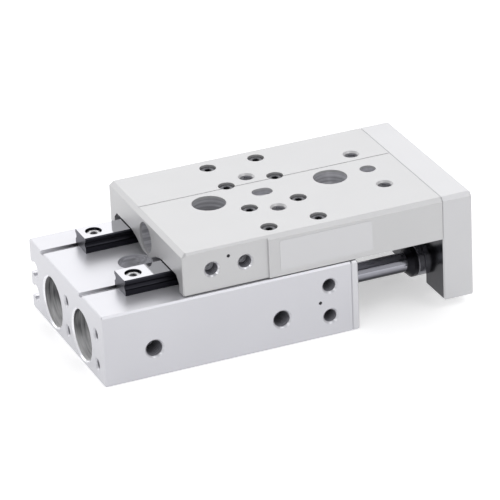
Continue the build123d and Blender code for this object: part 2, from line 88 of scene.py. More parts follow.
bpy.ops.object.select_all(action="DESELECT")
bpy.ops.object.camera_add(location=aim + distance * back)
camera = bpy.context.object
camera.name = "product_camera"
camera.rotation_euler = Matrix((rolled_right, rolled_up, back)).transposed().to_euler()
camera.data.sensor_width = sensor
camera.data.lens = focal_in_pixels * sensor / pixels_across
camera.data.clip_start = 50 * mm
bpy.context.scene.camera = camera
bpy.context.scene.view_settings.view_transform = "Standard"
print("lens", round(camera.data.lens, 1), "mm")

# %% [markdown]
# ## Colour and node helpers
#
# Colours are noted as hex values, the way a paint chart gives them. Blender wants linear numbers, so one
# function converts them. A second function adds a shader node, sets its values and links its inputs.
# That is all the machinery that every material below needs.

# %% Helpers for colour and nodes


def linear(hex_colour):
    """Turn an sRGB hex colour into the linear RGBA that a shader socket takes."""
    channels = [int(hex_colour[i:i + 2], 16) / 255 for i in (1, 3, 5)]
    curve = [c / 12.92 if c <= 0.04045 else ((c + 0.055) / 1.055) ** 2.4 for c in channels]
    return (*curve, 1.0)


def add_node(tree, kind, inputs=None, **settings):
    """Add a shader node. An input's value is a number, a colour or another node's output socket."""
    node = tree.nodes.new(kind)
    for name, value in settings.items():
        setattr(node, name, value)
    for name, value in (inputs or {}).items():
        if isinstance(value, bpy.types.NodeSocket):
            tree.links.new(value, node.inputs[name])
        else:
            node.inputs[name].default_value = value
    return node


def new_material(name):
    """Make an empty material and return it with its node tree."""
    material = bpy.data.materials.new(name)
    material.use_nodes = True
    material.node_tree.nodes.clear()
    return material, material.node_tree


# %% [markdown]
# ## Studio
#
# The background of a catalogue picture is white. The floor is a pale matt sheet that takes the shadow.
# Where the camera or a reflection sees it, it gets a little light of its own, which lifts it to white
# without putting more light on the product. Metal shows what surrounds it, so the room matters as much
# as the lamps: it is white at the horizon and a touch greyer overhead.

# %% What the camera sees, straight or in a mirror


def seen_or_mirrored(tree):
    """Factor that is 1 for the camera and for rays that a metal or a glass sends on, and 0 for the rest."""
    ray = add_node(tree, "ShaderNodeLightPath").outputs
    either = add_node(
        tree, "ShaderNodeMath", {0: ray["Is Camera Ray"], 1: ray["Is Glossy Ray"]}, operation="MAXIMUM",
    )
    every = add_node(
        tree, "ShaderNodeMath", {0: either.outputs[0], 1: ray["Is Transmission Ray"]}, operation="MAXIMUM",
    )
    return every.outputs[0]


# %% Floor
floor_size = 4.0
floor_lift = 0.42
bpy.ops.object.select_all(action="DESELECT")
bpy.ops.mesh.primitive_plane_add(size=floor_size, location=(0, 0, 0))
floor = bpy.context.object
floor.name = "floor"
floor_paper, tree = new_material("floor_matt_paper")
seen = seen_or_mirrored(tree)
lift = add_node(tree, "ShaderNodeMath", {0: seen, 1: floor_lift}, operation="MULTIPLY")
glow = add_node(tree, "ShaderNodeEmission", {"Color": linear("#FFFFFF"), "Strength": lift.outputs[0]})
paper = add_node(tree, "ShaderNodeBsdfDiffuse", {"Color": linear("#F2F2F2")})
both = add_node(tree, "ShaderNodeAddShader", {0: paper.outputs[0], 1: glow.outputs[0]})
add_node(tree, "ShaderNodeOutputMaterial", {"Surface": both.outputs[0]})
floor.data.materials.append(floor_paper)
print("floor", floor_size, "m wide")

# %% Room
room_strength = 0.80
world = bpy.data.worlds.new("studio_room")
bpy.context.scene.world = world
world.use_nodes = True
tree = world.node_tree
tree.nodes.clear()
place = add_node(tree, "ShaderNodeTexCoord")
split = add_node(tree, "ShaderNodeSeparateXYZ", {"Vector": place.outputs["Generated"]})
shade = add_node(tree, "ShaderNodeValToRGB", {"Fac": split.outputs["Z"]})
ramp = shade.color_ramp
ramp.elements[0].position, ramp.elements[0].color = 0.25, linear("#FFFFFF")
ramp.elements[1].position, ramp.elements[1].color = 1.0, linear("#EAEAEC")
room = add_node(tree, "ShaderNodeBackground", {"Color": shade.outputs[0], "Strength": room_strength})
add_node(tree, "ShaderNodeOutputWorld", {"Surface": room.outputs[0]})
print("room strength", room_strength)

# %% [markdown]
# ## Lamps
#
# Four square soft lamps. The large one stands behind the object, where the upper faces mirror it to the
# camera, and lifts them evenly over the sides. The one above the front is there for the broken edges,
# which mirror that place and would be grey lines without it. The one at the left does the same for the
# rear edges, and it opens up the rear face. The small one at the front left shines into the holes of the
# side. It stays weak, because the table mirrors it to anyone who looks from behind on the right.

# %% Lamps


def soft_lamp(name, stand, size, watts):
    """Square area lamp that faces the object."""
    bpy.ops.object.select_all(action="DESELECT")
    bpy.ops.object.light_add(type="AREA", location=stand)
    lamp = bpy.context.object
    lamp.name = name
    lamp.data.size = size
    lamp.data.energy = watts
    lamp.rotation_euler = (Vector(stand) - aim).to_track_quat("Z", "Y").to_euler()
    print(name, watts, "W")


soft_lamp("back_softbox", (0.94, 2.33, 1.68), 2.0, 16.0)
soft_lamp("front_softbox", (1.0, -1.25, 2.45), 1.2, 8.0)
soft_lamp("left_softbox", (-1.5, 2.2, 0.95), 1.4, 7.0)
soft_lamp("small_softbox", (-1.6, -1.7, 1.5), 0.6, 5.0)

# %% [markdown]
# ## Clear anodised aluminium
#
# The block, the front plate, the table and the end plate are milled from aluminium, blasted matt and
# anodised without colour. That leaves a pale, even, satin metal. Its oxide film is slightly milky, so
# half of the light is scattered and only the rest is mirrored, softly. A very fine grain breaks up the
# highlights. The grain is about a twentieth of a millimetre on the real surface and is drawn at a
# quarter of a millimetre, so that it shows. Edges are broken with a file, and the Bevel node rounds them
# for the light.

# %% Clear anodised aluminium
grain_size = 0.25 * mm
cloud_size = 14 * mm
grain_depth = 0.01 * mm
grain_roughness = 0.05
cloud_shade = 0.95
broken_edge = 0.12 * mm
mirrored_share = 0.5


def satin_metal(tree, colour, roughness):
    """Shader of blasted and anodised metal: soft reflections, fine grain, a faint change of tone."""
    place = add_node(tree, "ShaderNodeTexCoord").outputs["Object"]
    grain = add_node(tree, "ShaderNodeTexNoise", {"Vector": place, "Scale": 1 / grain_size, "Detail": 3.0})
    clouds = add_node(tree, "ShaderNodeTexNoise", {"Vector": place, "Scale": 1 / cloud_size, "Detail": 2.0})
    pale = linear(colour)
    dark = (*[cloud_shade * c for c in pale[:3]], 1.0)
    tint = add_node(
        tree, "ShaderNodeMix", {"Factor": clouds.outputs["Fac"], 6: dark, 7: pale}, data_type="RGBA",
    )
    rough = add_node(
        tree, "ShaderNodeMapRange",
        {"Value": grain.outputs["Fac"],
         "To Min": roughness - grain_roughness, "To Max": roughness + grain_roughness},
    )
    edge = add_node(tree, "ShaderNodeBevel", {"Radius": broken_edge}, samples=4)
    relief = add_node(
        tree, "ShaderNodeBump",
        {"Height": grain.outputs["Fac"], "Strength": 0.1, "Distance": grain_depth,
         "Normal": edge.outputs[0]},
    )
    return add_node(
        tree, "ShaderNodeBsdfPrincipled",
        {"Base Color": tint.outputs[2], "Metallic": mirrored_share, "Roughness": rough.outputs[0],
         "Normal": relief.outputs[0]},
    )


# %% [markdown]
# Holes, grooves and slots are cut with a drill or an end mill. The blasting doesn't reach far into them,
# so their walls stay smoother than the outside, with fine tool marks. In the long slots of the block the
# marks are pale streaks along the way of the cutter, and in the holes of the table they are rings. The
# real marks are about a tenth of a millimetre apart and are drawn three to six times as coarse, so that
# they show. Whatever lies deeper than the broken edges inside the box of a piece is such a wall. A noise
# texture keeps mostly to the middle of its range, so that middle is spread over the tones of a wall.

# %% Which way a face looks


def facing(tree, axis, least):
    """Factor that is 1 where a face looks along an axis, which -X, -Y or -Z turn round."""
    normal = add_node(tree, "ShaderNodeNewGeometry").outputs["Normal"]
    along = add_node(tree, "ShaderNodeSeparateXYZ", {"Vector": normal}).outputs[axis[-1]]
    if axis[0] == "-":
        along = add_node(tree, "ShaderNodeMath", {0: along, 1: -1.0}, operation="MULTIPLY").outputs[0]
    return add_node(tree, "ShaderNodeMath", {0: along, 1: least}, operation="GREATER_THAN").outputs[0]


# %% What lies inside the outline of a piece
outline_depth = 0.6 * mm


def inside_outline(tree, node_name):
    """Factor that is 1 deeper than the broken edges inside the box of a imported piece."""
    low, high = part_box(node_name)
    place = add_node(tree, "ShaderNodeTexCoord").outputs["Object"]
    from_centre = add_node(
        tree, "ShaderNodeVectorMath", {0: place, 1: (low + high) / 2}, operation="SUBTRACT",
    )
    distance = add_node(tree, "ShaderNodeVectorMath", {0: from_centre.outputs[0]}, operation="ABSOLUTE")
    depth = add_node(
        tree, "ShaderNodeVectorMath", {0: (high - low) / 2, 1: distance.outputs[0]}, operation="SUBTRACT",
    )
    axes = add_node(tree, "ShaderNodeSeparateXYZ", {"Vector": depth.outputs[0]}).outputs
    least = add_node(tree, "ShaderNodeMath", {0: axes["X"], 1: axes["Y"]}, operation="MINIMUM")
    least = add_node(tree, "ShaderNodeMath", {0: least.outputs[0], 1: axes["Z"]}, operation="MINIMUM")
    return add_node(
        tree, "ShaderNodeMath", {0: least.outputs[0], 1: outline_depth}, operation="GREATER_THAN",
    ).outputs[0]


# %% Drilled walls
drill_mark = 0.3 * mm
drill_mark_depth = 0.02 * mm
streaks_along = (12 * mm, 0.6 * mm, 0.6 * mm)
rings_across = (12 * mm, 12 * mm, 0.6 * mm)
# The block's slot tones are paler than the table's hole tones: painted light on walls that lie in shade.
slot_tones_painted_lighter = ("#C8C8CC", "#F2F2F6")
hole_tones = ("#B8B8BC", "#E8E8EC")
noise_low, noise_high = 0.35, 0.65


def with_drilled_walls(tree, outside, node_name, mark_lengths, tones):
    """Shader that is the outside finish on the outline and bare drilled metal inside it."""
    place = add_node(tree, "ShaderNodeTexCoord").outputs["Object"]
    marks = add_node(tree, "ShaderNodeTexNoise", {"Vector": place, "Scale": 1 / drill_mark, "Detail": 3.0})
    stretch = add_node(
        tree, "ShaderNodeMapping", {"Vector": place, "Scale": [1 / length for length in mark_lengths]},
    )
    streaks = add_node(
        tree, "ShaderNodeTexNoise", {"Vector": stretch.outputs[0], "Scale": 1.0, "Detail": 2.0},
    )
    tone_share = add_node(
        tree, "ShaderNodeMapRange",
        {"Value": streaks.outputs["Fac"], "From Min": noise_low, "From Max": noise_high},
    )
    tone = add_node(
        tree, "ShaderNodeMix",
        {"Factor": tone_share.outputs[0], 6: linear(tones[0]), 7: linear(tones[1])}, data_type="RGBA",
    )
    relief = add_node(
        tree, "ShaderNodeBump",
        {"Height": marks.outputs["Fac"], "Strength": 0.25, "Distance": drill_mark_depth},
    )
    drilled = add_node(
        tree, "ShaderNodeBsdfPrincipled",
        {"Base Color": tone.outputs[2], "Metallic": 0.5, "Roughness": 0.28, "Normal": relief.outputs[0]},
    )
    return add_node(
        tree, "ShaderNodeMixShader",
        {0: inside_outline(tree, node_name), 1: outside.outputs[0], 2: drilled.outputs[0]},
    )


# %% [markdown]
# The near sides of the block and the table each have a small punch mark beside their tapped holes. The flat
# bottom of a mark is given a dark colour, painted shade in the dimple, so it reads as a dark dot. It is the
# one face that looks out of the side from exactly the depth of the mark, and that is how the shader finds
# it.

# %% Punch marks with painted shade
mounts = {mount["name"]: mount for mount in frame["record"]["mounts"]}
punch_depth = 0.3 * mm
punch_slack = punch_depth / 6


def with_punch_mark(tree, metal, holes):
    """Shader with painted shade, a dark colour, where a face looks along -Y from the bottom of a punch
    mark.
    """
    side_y = mounts[holes]["pos_m"][1]
    place = add_node(tree, "ShaderNodeTexCoord").outputs["Object"]
    depth = add_node(tree, "ShaderNodeSeparateXYZ", {"Vector": place}).outputs["Y"]
    at_bottom = add_node(
        tree, "ShaderNodeMath", {0: depth, 1: side_y + punch_depth, 2: punch_slack}, operation="COMPARE",
    )
    marked = add_node(
        tree, "ShaderNodeMath", {0: at_bottom.outputs[0], 1: facing(tree, "-Y", 0.9)},
        operation="MULTIPLY",
    )
    # The dark colour at the bottom of a mark is painted shade.
    punch_painted_shade = add_node(
        tree, "ShaderNodeBsdfPrincipled", {"Base Color": linear("#3A3A3E"), "Roughness": 0.7},
    )
    return add_node(
        tree, "ShaderNodeMixShader", {0: marked.outputs[0], 1: metal.outputs[0], 2: punch_painted_shade.outputs[0]},
    )


# %% Front plate and table
finish_of = {}

plate_metal, tree = new_material("clear_anodised_front_plate")
metal = with_drilled_walls(
    tree, satin_metal(tree, "#D8D8DC", 0.36), "front_plate", rings_across, hole_tones,
)
add_node(tree, "ShaderNodeOutputMaterial", {"Surface": metal.outputs[0]})
finish_of["anodised_plate"] = plate_metal

table_metal, tree = new_material("clear_anodised_table")
metal = with_drilled_walls(tree, satin_metal(tree, "#CACACB", 0.42), "table", rings_across, hole_tones)
marked = with_punch_mark(tree, metal, "table_side_holes")
add_node(tree, "ShaderNodeOutputMaterial", {"Surface": marked.outputs[0]})
finish_of["anodised_table"] = table_metal
print(len(finish_of), "anodised finishes")

# %% [markdown]
# The block's bores are honed, not blasted, and then greased. Honing leaves a grey wall with fine rings, and
# the lower half of the wall, whose faces look up, is made paler as painted light. The real rings are a few
# hundredths of a millimetre apart and are drawn at 0.7 mm, so that they show. The mouths have a cone, and a
# bright colour on it draws a thin light ring round each, a painted highlight. The shader tells the wall and
# the cone by their distance from the middle line of a bore, which is the same for both bores once the sign
# of Y is dropped.
#
# Beside each rail a narrow relief groove runs along the top of the block. It is milled like the other
# grooves, and it is given painted shade, nearly black at the rail and grey at the rear. The painted shade
# covers both walls of a groove and stops just short of the top of the block.

# %% Outside of the cylinder block
block_metal, tree = new_material("clear_anodised_block")
outside = with_drilled_walls(
    tree, satin_metal(tree, "#D3D3D8", 0.34), "cylinder_body", streaks_along, slot_tones_painted_lighter,
)
outside = with_punch_mark(tree, outside, "body_side_holes")
print("outside of the block with", len(tree.nodes), "nodes")

# %% Distance from the middle line of a bore
plug_low, plug_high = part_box("near_rear_plug")
plug_play = 0.05 * mm
honed_radius = (plug_high.z - plug_low.z) / 2 + plug_play
bore_middle = (plug_low + plug_high) / 2

place = add_node(tree, "ShaderNodeTexCoord").outputs["Object"]
both_sides = add_node(tree, "ShaderNodeVectorMath", {0: place}, operation="ABSOLUTE")
from_middle = add_node(
    tree, "ShaderNodeVectorMath", {0: both_sides.outputs[0], 1: (0, abs(bore_middle.y), bore_middle.z)},
    operation="SUBTRACT",
)
across_bore = add_node(
    tree, "ShaderNodeVectorMath", {0: from_middle.outputs[0], 1: (0, 1, 1)}, operation="MULTIPLY",
)
radius = add_node(tree, "ShaderNodeVectorMath", {0: across_bore.outputs[0]}, operation="LENGTH")
print("honed within", round(honed_radius / mm, 2), "mm of a bore's middle line")

# %% Honed bores, with painted light on the lower wall
hone_mark = 0.7 * mm
ring_stretch = 8 * mm
ring_paleness = 0.5
painted_light_paleness = 0.6

ring_space = add_node(
    tree, "ShaderNodeMapping",
    {"Vector": place, "Scale": (1 / hone_mark, 1 / ring_stretch, 1 / ring_stretch)},
)
rings = add_node(
    tree, "ShaderNodeTexNoise", {"Vector": ring_space.outputs[0], "Scale": 1.0, "Detail": 3.0},
)
ring_share = add_node(
    tree, "ShaderNodeMapRange",
    {"Value": rings.outputs["Fac"], "From Min": noise_low, "From Max": noise_high,
     "To Max": ring_paleness},
)
upward = add_node(
    tree, "ShaderNodeSeparateXYZ", {"Vector": add_node(tree, "ShaderNodeNewGeometry").outputs["Normal"]},
)
# Faces that look up are made paler: painted light on the lower wall of a bore.
painted_light_share = add_node(
    tree, "ShaderNodeMapRange",
    {"Value": upward.outputs["Z"], "From Min": 0.1, "From Max": 0.8, "To Max": painted_light_paleness},
)
paleness = add_node(
    tree, "ShaderNodeMath", {0: ring_share.outputs[0], 1: painted_light_share.outputs[0]}, operation="ADD",
)
honed_tone = add_node(
    tree, "ShaderNodeMix",
    {"Factor": paleness.outputs[0], 6: linear("#4C4C50"), 7: linear("#FFFFFF")}, data_type="RGBA",
)
honed = add_node(
    tree, "ShaderNodeBsdfPrincipled",
    {"Base Color": honed_tone.outputs[2], "Metallic": 0.4, "Roughness": 0.4},
)
print("hone marks", round(hone_mark / mm, 1), "mm apart")

# %% Painted highlight on the mouths of the bores
mouth_width = 0.4 * mm

in_bore = add_node(
    tree, "ShaderNodeMath", {0: radius.outputs["Value"], 1: honed_radius}, operation="LESS_THAN",
)
in_mouth = add_node(
    tree, "ShaderNodeMath", {0: radius.outputs["Value"], 1: honed_radius + mouth_width},
    operation="LESS_THAN",
)
# The bright colour of the mouth cone is a painted highlight.
turned = add_node(
    tree, "ShaderNodeBsdfPrincipled",
    {"Base Color": linear("#F6F6FA"), "Metallic": 0.6, "Roughness": 0.25},
)
with_mouth_highlight = add_node(
    tree, "ShaderNodeMixShader", {0: in_mouth.outputs[0], 1: outside.outputs[0], 2: turned.outputs[0]},
)
with_bores = add_node(
    tree, "ShaderNodeMixShader", {0: in_bore.outputs[0], 1: with_mouth_highlight.outputs[0], 2: honed.outputs[0]},
)
print("mouths", round(mouth_width / mm, 1), "mm wide")

# %% Where the relief grooves are
groove_width, groove_depth = 2.1 * mm, 0.8 * mm
half_width = groove_width / 2
wall_slack = 0.02 * mm
height_reach = 0.49 * groove_depth
block_low, block_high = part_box("cylinder_body")

where = add_node(tree, "ShaderNodeSeparateXYZ", {"Vector": place}).outputs
near_groove, far_groove = [
    add_node(
        tree, "ShaderNodeMath",
        {0: where["Y"], 1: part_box(rail)[1].y - half_width, 2: half_width + wall_slack},
        operation="COMPARE",
    )
    for rail in ("near_guide_rail", "far_guide_rail")
]
in_width = add_node(
    tree, "ShaderNodeMath", {0: near_groove.outputs[0], 1: far_groove.outputs[0]}, operation="MAXIMUM",
)
in_height = add_node(
    tree, "ShaderNodeMath", {0: where["Z"], 1: block_high.z - groove_depth / 2, 2: height_reach},
    operation="COMPARE",
)
in_groove = add_node(
    tree, "ShaderNodeMath", {0: in_width.outputs[0], 1: in_height.outputs[0]}, operation="MULTIPLY",
)
print("relief grooves", round(groove_width / mm, 1), "mm wide")

# %% Painted shade in the relief grooves
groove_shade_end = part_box("near_guide_rail")[0].x

# The groove's colour darkens towards the rail: painted shade.
groove_shade_share = add_node(
    tree, "ShaderNodeMapRange", {"Value": where["X"], "From Min": block_low.x, "From Max": groove_shade_end},
)
groove_shade_tone = add_node(
    tree, "ShaderNodeMix",
    {"Factor": groove_shade_share.outputs[0], 6: linear("#E0E0E4"), 7: linear("#3C3C40")}, data_type="RGBA",
)
groove_painted_shade = add_node(
    tree, "ShaderNodeBsdfPrincipled",
    {"Base Color": groove_shade_tone.outputs[2], "Metallic": 0.5, "Roughness": 0.35},
)
block_surface = add_node(
    tree, "ShaderNodeMixShader", {0: in_groove.outputs[0], 1: with_bores.outputs[0], 2: groove_painted_shade.outputs[0]},
)
add_node(tree, "ShaderNodeOutputMaterial", {"Surface": block_surface.outputs[0]})
finish_of["anodised_body"] = block_metal
# The printed x is where the painted shade in the grooves is darkest.
print("oil is darkest at x =", round(groove_shade_end / mm, 1), "mm")

# %% [markdown]
# The end plate has the same finish outside. Its inner face is only milled flat, because the table and the
# rods seat on it. It is smooth and mirrors the gap behind it, and its dark grey colour is painted shade.

# %% End plate with painted shade on its inner face
end_plate_metal, tree = new_material("clear_anodised_end_plate")
outside = with_drilled_walls(
    tree, satin_metal(tree, "#CECED0", 0.40), "end_plate", rings_across, hole_tones,
)
# The dark colour of the inner face is painted shade.
inner_face_painted_shade = add_node(
    tree, "ShaderNodeBsdfPrincipled",
    {"Base Color": linear("#48484C"), "Metallic": 1.0, "Roughness": 0.16},
)
two_faces = add_node(
    tree, "ShaderNodeMixShader", {0: facing(tree, "-X", 0.95), 1: outside.outputs[0], 2: inner_face_painted_shade.outputs[0]},
)
add_node(tree, "ShaderNodeOutputMaterial", {"Surface": two_faces.outputs[0]})
finish_of["anodised_end_plate"] = end_plate_metal
print(len(finish_of), "anodised finishes with block and end plate")

# %% [markdown]
# ## Turned and plated metal
#
# The rods are hard chromed and polished, the balls are polished bearing steel, and the plugs, bushes,
# collars, circlips and screws are turned or stamped and then plated or blackened. They differ in colour,
# in how rough they are, and in fine rings left by the lathe, whose feed is about an eighth of a
# millimetre. One function draws all of them: rings run round a piece's X axis, because every round piece
# of this object lies that way, apart from the upright screws, where they only read as fine lines. Tapped
# threads are anodised too, and their milky film makes them less of a mirror than bare metal.

# %% Fine rings from the lathe
tool_mark = 0.12 * mm
mark_length = 5 * mm
deepest_mark = 0.01 * mm


def turned_metal(name, colour, roughness, depth_share, metallic=1.0):
    """Metal with fine tool marks across X. Their depth is a share of the deepest mark."""
    material, tree = new_material(name)
    place = add_node(tree, "ShaderNodeTexCoord").outputs["Object"]
    stretch = add_node(
        tree, "ShaderNodeMapping",
        {"Vector": place, "Scale": (1 / tool_mark, 1 / mark_length, 1 / mark_length)},
    )
    marks = add_node(
        tree, "ShaderNodeTexNoise", {"Vector": stretch.outputs[0], "Scale": 1.0, "Detail": 2.0},
    )
    rough = add_node(
        tree, "ShaderNodeMapRange",
        {"Value": marks.outputs["Fac"], "To Min": 0.8 * roughness, "To Max": 1.2 * roughness},
    )
    relief = add_node(
        tree, "ShaderNodeBump",
        {"Height": marks.outputs["Fac"], "Strength": depth_share, "Distance": deepest_mark},
    )
    metal = add_node(
        tree, "ShaderNodeBsdfPrincipled",
        {"Base Color": linear(colour), "Metallic": metallic, "Roughness": rough.outputs[0],
         "Normal": relief.outputs[0]},
    )
    add_node(tree, "ShaderNodeOutputMaterial", {"Surface": metal.outputs[0]})
    return material


# %% Finishes of the turned and plated pieces
chrome_tone = "#9C9CA4"
rod_chrome = turned_metal("hard_chromed_rod", chrome_tone, 0.10, 0.03)
finish_of["rod_steel"] = rod_chrome
finish_of["ball_steel"] = turned_metal("polished_bearing_steel", "#C8C8CC", 0.06, 0.0)
finish_of["bush_steel"] = turned_metal("turned_steel_bush", "#8C8C92", 0.24, 0.3)
finish_of["collar_black"] = turned_metal("blackened_steel_collar", "#2A2A2E", 0.30, 0.25)
finish_of["spring_steel"] = turned_metal("phosphated_spring_steel", "#3E3E42", 0.45, 0.1)
finish_of["screw_steel"] = turned_metal("zinc_plated_screw_steel", "#B0B0B2", 0.28, 0.15)
black_screw = turned_metal("blackened_screw_steel", "#5A5A5E", 0.34, 0.15)
# The dark colour of the threads is painted shade inside the holes.
thread_metal_painted_shade = turned_metal("tapped_aluminium", "#74747A", 0.36, 0.2, 0.4)
finish_of["anodised_plug"] = turned_metal("turned_aluminium_plug", "#B4B4B8", 0.32, 0.35)
finish_of["magnet"] = turned_metal("sintered_magnet", "#4A4A4E", 0.50, 0.2)
print(len(finish_of), "finishes so far")

# %% [markdown]
# The underside of each rod is made darker as painted shade, which draws a dark line along the foot of each
# rod. The dark tone is laid over the chrome's colour, and it gets darker the more the surface looks down.

# %% Painted shade on the underside of the rods
tree = rod_chrome.node_tree
rod_normal = add_node(tree, "ShaderNodeNewGeometry").outputs["Normal"]
rod_split = add_node(tree, "ShaderNodeSeparateXYZ", {"Vector": rod_normal})
# Faces that look down get a darker colour: painted shade.
rod_shade_share = add_node(
    tree, "ShaderNodeMapRange",
    {"Value": rod_split.outputs["Z"], "From Min": -0.1, "From Max": -0.5},
)
rod_painted_shade_tone = add_node(
    tree, "ShaderNodeMix",
    {"Factor": rod_shade_share.outputs[0], 6: linear(chrome_tone), 7: linear("#2C2C32")}, data_type="RGBA",
)
chrome = next(node for node in tree.nodes if node.type == "BSDF_PRINCIPLED")
tree.links.new(rod_painted_shade_tone.outputs[2], chrome.inputs["Base Color"])
# The printed words stand for the painted shade under the rods.
print("oil film under the rods")

# %% [markdown]
# ## Guide rail steel
#
# The rails are hardened steel. The top is ground flat, so that it mirrors the table, and the ends are sawn
# off. One material gives the steel three tones by where a point lies and which way its face looks: pale
# where the face looks up at the height of the rail's top, grey where it looks along X, dark elsewhere.
# These tones are painted light and shade: the pale top is painted light, and the grey ends and dark sides
# are painted shade. Grinding leaves long scratches along the rail, about a twentieth of a millimetre wide.

# %% Where a rail is ground and where it is sawn
rail_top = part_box("near_guide_rail")[1].z
ground_depth = 0.1 * mm

rail_steel, tree = new_material("hardened_rail_steel")
place = add_node(tree, "ShaderNodeTexCoord").outputs["Object"]
where = add_node(tree, "ShaderNodeSeparateXYZ", {"Vector": place})
high = add_node(
    tree, "ShaderNodeMath", {0: where.outputs["Z"], 1: rail_top - ground_depth}, operation="GREATER_THAN",
)
ground = add_node(
    tree, "ShaderNodeMath", {0: high.outputs[0], 1: facing(tree, "Z", 0.9)}, operation="MULTIPLY",
)
sawn = add_node(
    tree, "ShaderNodeMath", {0: facing(tree, "X", 0.9), 1: facing(tree, "-X", 0.9)}, operation="MAXIMUM",
)
print("rail top at", round(rail_top / mm, 2), "mm")

# %% Guide rail steel, with painted light and shade
scratch_width = 0.05 * mm
scratch_length = 6 * mm
scratch_depth = 0.01 * mm

stretch = add_node(
    tree, "ShaderNodeMapping",
    {"Vector": place, "Scale": (1 / scratch_length, 1 / scratch_width, 1 / scratch_width)},
)
scratches = add_node(
    tree, "ShaderNodeTexNoise", {"Vector": stretch.outputs[0], "Scale": 1.0, "Detail": 3.0},
)
# Dark sides and grey ends are painted shade, and the pale top is painted light.
painted_side_or_end_shade = add_node(
    tree, "ShaderNodeMix",
    {"Factor": sawn.outputs[0], 6: linear("#2E2E34"), 7: linear("#74747A")}, data_type="RGBA",
)
colour = add_node(
    tree, "ShaderNodeMix",
    {"Factor": ground.outputs[0], 6: painted_side_or_end_shade.outputs[2], 7: linear("#B0B0B4")}, data_type="RGBA",
)
roughness = add_node(
    tree, "ShaderNodeMapRange", {"Value": ground.outputs[0], "To Min": 0.34, "To Max": 0.06},
)
relief = add_node(
    tree, "ShaderNodeBump",
    {"Height": scratches.outputs["Fac"], "Strength": 0.08, "Distance": scratch_depth},
)
metal = add_node(
    tree, "ShaderNodeBsdfPrincipled",
    {"Base Color": colour.outputs[2], "Metallic": 1.0, "Roughness": roughness.outputs[0],
     "Normal": relief.outputs[0]},
)
add_node(tree, "ShaderNodeOutputMaterial", {"Surface": metal.outputs[0]})
finish_of["rail_steel"] = rail_steel
print("scratches", round(scratch_length / mm, 1), "mm long")

# %% [markdown]
# ## Rubber and moulded plastic
#
# The seals are black nitrile rubber, the bumpers are amber urethane, and the end caps of the guide
# blocks are moulded black acetal. None of them is metal. Rubber is nearly matt with a faint mottle, and
# acetal has the soft sheen of a moulded surface with a fine spark texture.

# %% Rubber and moulded plastic
deepest_texture = 0.02 * mm
mottle_shade = 0.8


def moulded(name, colour, roughness, texture_size, depth_share):
    """Plastic or rubber with a mottled surface. Its depth is a share of the deepest texture."""
    material, tree = new_material(name)
    place = add_node(tree, "ShaderNodeTexCoord").outputs["Object"]
    mottle = add_node(
        tree, "ShaderNodeTexNoise", {"Vector": place, "Scale": 1 / texture_size, "Detail": 2.0},
    )
    full = linear(colour)
    dull = (*[mottle_shade * c for c in full[:3]], 1.0)
    tint = add_node(
        tree, "ShaderNodeMix", {"Factor": mottle.outputs["Fac"], 6: dull, 7: full}, data_type="RGBA",
    )
    relief = add_node(
        tree, "ShaderNodeBump",
        {"Height": mottle.outputs["Fac"], "Strength": depth_share, "Distance": deepest_texture},
    )
    surface = add_node(
        tree, "ShaderNodeBsdfPrincipled",
        {"Base Color": tint.outputs[2], "Roughness": roughness, "Normal": relief.outputs[0]},
    )
    add_node(tree, "ShaderNodeOutputMaterial", {"Surface": surface.outputs[0]})
    return material


finish_of["seal_rubber"] = moulded("black_nitrile_rubber", "#1C1C1E", 0.6, 0.4 * mm, 0.3)
finish_of["bumper_rubber"] = moulded("amber_urethane_rubber", "#8A6A3A", 0.45, 0.6 * mm, 0.2)
finish_of["cap_plastic"] = moulded("black_acetal", "#202024", 0.4, 0.2 * mm, 0.4)
print(len(finish_of), "finishes in all")

# %% [markdown]
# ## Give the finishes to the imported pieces
#
# The record of the model says which material slot each piece has, so the finish is looked up there and
# no list of pieces has to be kept by hand.

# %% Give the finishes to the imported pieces
slot_of = {part["node"]: part["material_slot"] for part in frame["record"]["subparts"]}
for node_name, node in nodes.items():
    node.data.materials.clear()
    node.data.materials.append(finish_of[slot_of[node_name]])
print(len(slot_of), "pieces have their finish")

# %% [markdown]
# ## Standing a modelled piece in its place
#
# Small pieces that repeat, such as screws and threads, are modelled once at the origin, with the
# direction that they point in along +Z. Then a copy with its own mesh is turned and moved to each hole,
# its place is applied to its mesh, and the copies are joined. That is how one would do it by hand, and a
# change to the first piece reaches all of them.

# %% Helpers for selecting and cleaning up
doubles_within = 0.0005 * mm


def only(piece):
    """Select one object and nothing else."""
    bpy.ops.object.select_all(action="DESELECT")
    piece.select_set(True)
    bpy.context.view_layer.objects.active = piece


def tidy_mesh(piece, smooth_degrees):
    """Merge doubles, turn the faces outwards and smooth the gentle edges."""
    only(piece)
    bpy.ops.object.mode_set(mode="EDIT")
    bpy.ops.mesh.select_all(action="SELECT")
    bpy.ops.mesh.remove_doubles(threshold=doubles_within)
    bpy.ops.mesh.normals_make_consistent(inside=False)
    bpy.ops.object.mode_set(mode="OBJECT")
    bpy.ops.object.shade_smooth_by_angle(angle=math.radians(smooth_degrees))


# %% Helper that stands copies in their places


